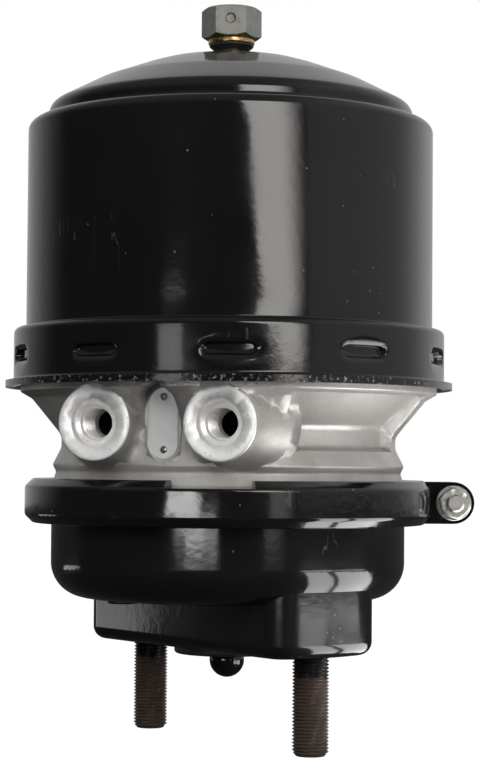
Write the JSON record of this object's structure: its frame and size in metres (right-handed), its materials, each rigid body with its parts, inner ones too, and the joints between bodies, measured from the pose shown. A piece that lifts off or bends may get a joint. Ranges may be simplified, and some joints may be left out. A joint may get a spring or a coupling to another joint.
{
  "type": "air brake chamber",
  "caption": "Spring brake chamber for a disc brake: drawn spring housing, cast flange body with air ports, clamp ring, mounting studs and ball-ended pushrod.",
  "frame": {"origin": "centre of the mounting face, on the chamber's axis", "axes": "+Z along the axis from the brake towards the release bolt, +X through one mounting stud"},
  "size_m": [0.2038, 0.2038, 0.3356],
  "materials": {
    "black_paint": "gloss black paint over drawn steel",
    "cast_aluminium": "blasted casting",
    "plate_metal": "satin plate",
    "zinc_steel": "zinc plated",
    "neck_steel": "phosphated",
    "brass": "satin",
    "rubber": "moulded",
    "stud_steel": "dark oiled thread",
    "spring_steel": "coated wire",
    "plain_steel": "plain",
    "bearing_plastic": "moulded"
  },
  "bodies": {
    "chamber": {"spring_housing": "black_paint", "dome_bush": "neck_steel", "vent_plug": "black_paint", "spring_seat": "plain_steel", "power_spring": "spring_steel", "flange_body": "cast_aluminium", "housing_seal_ring": "rubber", "data_plate": "plate_metal", "plate_rivets": "plate_metal", "tube_wiper": "rubber", "tube_bush": "bearing_plastic", "tube_seal": "rubber", "clamp_ring": "black_paint", "clamp_bolt": "zinc_steel", "clamp_nut": "zinc_steel", "clamp_washers": "zinc_steel", "diaphragm": "rubber", "service_housing": "black_paint", "mounting_studs": "stud_steel", "drain_plugs": "rubber", "boot_seal": "rubber", "bellows": "rubber", "return_spring": "spring_steel"},
    "release_bolt": {"release_bolt": "zinc_steel", "brass_washer": "brass", "head_seal": "rubber", "bolt_end_clip": "zinc_steel"},
    "spring_piston": {"spring_piston": "cast_aluminium", "piston_seal": "rubber", "piston_guide_ring": "bearing_plastic", "piston_tube": "plain_steel", "tube_end_cap": "bearing_plastic", "release_nut": "zinc_steel"},
    "pushrod": {"pushrod": "plain_steel", "pressure_plate": "plain_steel", "spring_guide": "plain_steel", "boot_clip": "plain_steel"}
  },
  "joints": [
    {"name": "release_bolt_turn", "type": "hinge", "parent": "chamber", "child": "release_bolt", "pos_m": [0, 0, 0.28], "axis": [0, 0, 1], "range_deg": [0, 11726]},
    {"name": "spring_piston_stroke", "type": "slide", "parent": "chamber", "child": "spring_piston", "axis": [0, 0, -1], "range_m": [0, 0.057], "deforming": ["power_spring"]},
    {"name": "pushrod_stroke", "type": "slide", "parent": "chamber", "child": "pushrod", "axis": [0, 0, -1], "range_m": [0, 0.057], "deforming": ["return_spring", "bellows", "diaphragm"]}
  ],
  "couplings": [
    {"joint": "release_bolt_turn", "follows": "spring_piston_stroke", "rad_per_m": 3590.4},
    {"joint": "pushrod_stroke", "follows": "spring_piston_stroke", "ratio": 1}
  ]
}
